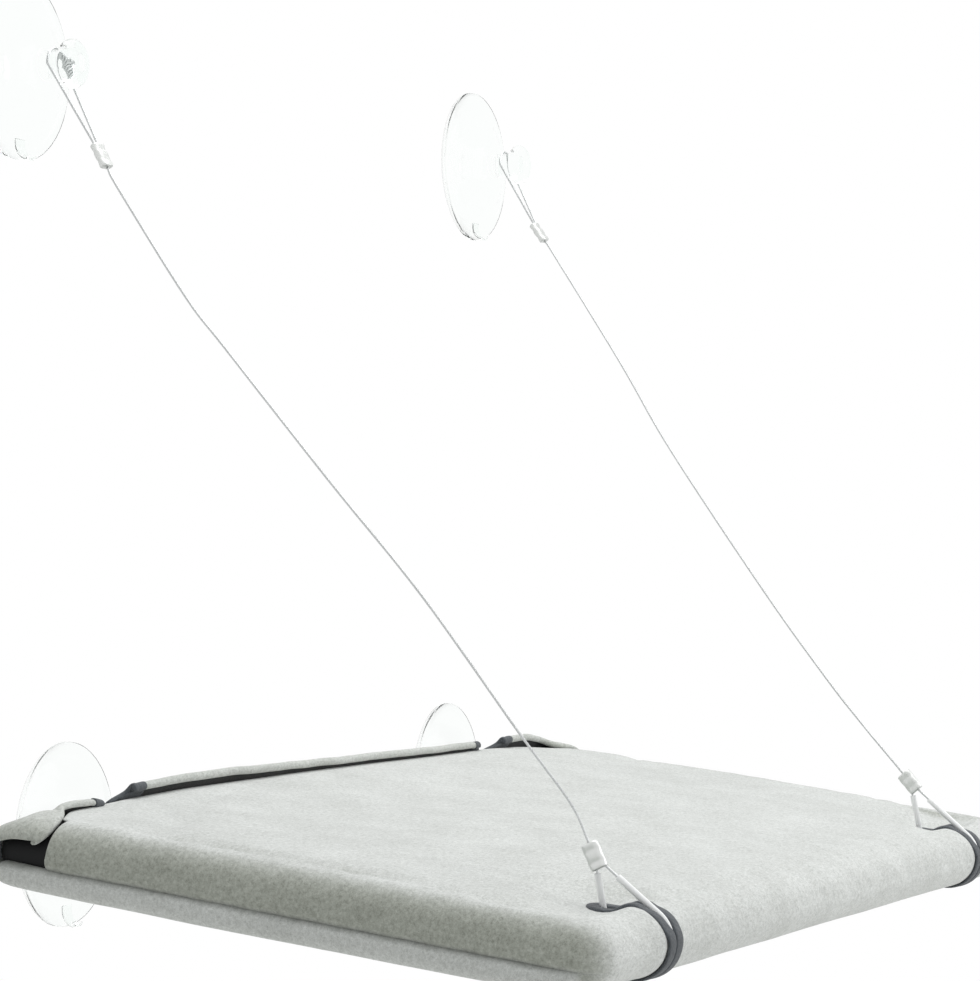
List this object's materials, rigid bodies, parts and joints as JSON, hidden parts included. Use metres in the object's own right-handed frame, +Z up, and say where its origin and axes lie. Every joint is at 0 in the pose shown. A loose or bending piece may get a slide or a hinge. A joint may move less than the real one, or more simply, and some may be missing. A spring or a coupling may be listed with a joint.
{
  "type": "window mounted cat perch",
  "caption": "Fleece-covered shelf for a cat that hangs on window glass from suction cups and steel cables.",
  "frame": {"origin": "on the window glass, midway between the two lower suction cups", "axes": "+X along the window, +Y into the glass, +Z up; the perch reaches into the room along -Y"},
  "size_m": [0.59, 0.3126, 0.447],
  "materials": {
    "tube_steel": "satin",
    "corner_plastic": "matte",
    "pad_foam": "matte",
    "fleece": "matte",
    "fleece_shade": "matte",
    "black_strip": "matte",
    "binding_tape": "matte",
    "clear_cup": "gloss",
    "wire_rope": "satin",
    "ferrule": "satin",
    "clear_sleeve": "gloss"
  },
  "bodies": {
    "window_mount": {"back_tube": "tube_steel", "lower_cup_left": "clear_cup", "lower_cup_right": "clear_cup", "upper_cup_left": "clear_cup", "upper_cup_right": "clear_cup", "upper_eye_left": "wire_rope", "upper_eye_right": "wire_rope", "upper_ferrule_left": "ferrule", "upper_ferrule_right": "ferrule", "cable_left": "wire_rope", "cable_right": "wire_rope"},
    "perch": {"front_tube": "tube_steel", "left_tube": "tube_steel", "right_tube": "tube_steel", "back_corner_left": "corner_plastic", "back_corner_right": "corner_plastic", "front_corner_left": "corner_plastic", "front_corner_right": "corner_plastic", "pad": "pad_foam", "cover_top": "fleece", "cover_bottom": "fleece_shade", "back_flap_left": "fleece_shade", "back_flap_middle": "fleece_shade", "back_flap_right": "fleece_shade", "flap_strip_left": "black_strip", "flap_strip_middle": "black_strip", "flap_strip_right": "black_strip", "panel_strip": "black_strip", "flap_binding_left": "binding_tape", "flap_binding_right": "binding_tape", "slit_binding_left": "binding_tape", "slit_binding_right": "binding_tape", "lower_eye_left": "wire_rope", "lower_eye_right": "wire_rope", "lower_ferrule_left": "ferrule", "lower_ferrule_right": "ferrule", "eye_sleeve_left": "clear_sleeve", "eye_sleeve_right": "clear_sleeve"}
  },
  "joints": [
    {"name": "perch_lift", "type": "hinge", "parent": "window_mount", "child": "perch", "pos_m": [0, -0.03, 0], "axis": [-1, 0, 0], "range_deg": [0, 50], "deforming": ["cable_left", "cable_right"]}
  ]
}
